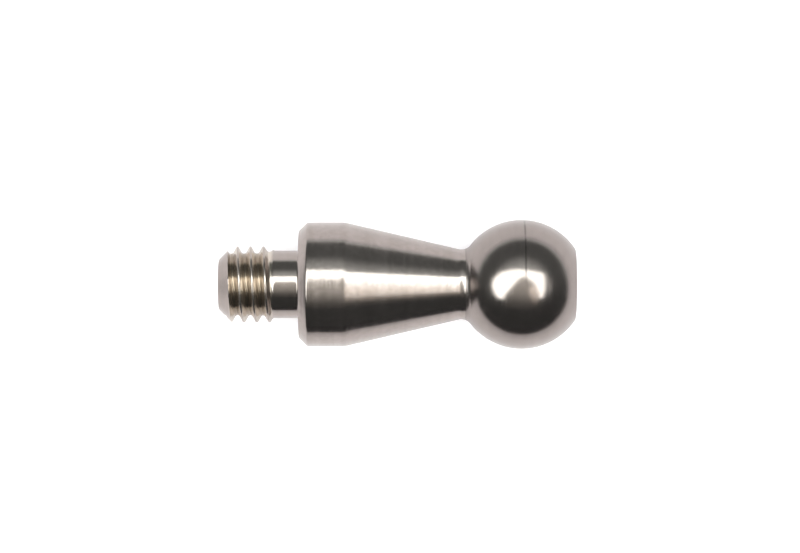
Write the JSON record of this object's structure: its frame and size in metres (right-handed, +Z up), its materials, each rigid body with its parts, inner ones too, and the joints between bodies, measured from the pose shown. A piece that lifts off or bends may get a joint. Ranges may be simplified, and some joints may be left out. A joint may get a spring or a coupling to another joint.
{
  "type": "ball stud",
  "caption": "Steel ball stud: a polished ball with a flat, socketed end on a tapered neck, with a round seat collar and a short threaded end for a ball joint or rod end.",
  "frame": {"origin": "on the stud's axis, in the plane of the seat face, where the collar meets the mating part", "axes": "+X along the axis from the seat face towards the ball, so the thread points to -X; +Z up with the stud lying on its side; the part is round about X apart from the thread and the hexagon socket"},
  "size_m": [0.0276, 0.01, 0.01],
  "materials": {
    "shank_steel": "bright rolled and polished stainless steel",
    "body_steel": "satin stainless steel with fine turning marks round the axis",
    "ball_steel": "polished stainless steel with very fine turning marks round the axis"
  },
  "bodies": {
    "root": {"threaded_stud": "shank_steel", "tapered_body": "body_steel", "ball_head": "ball_steel"}
  },
  "joints": []
}
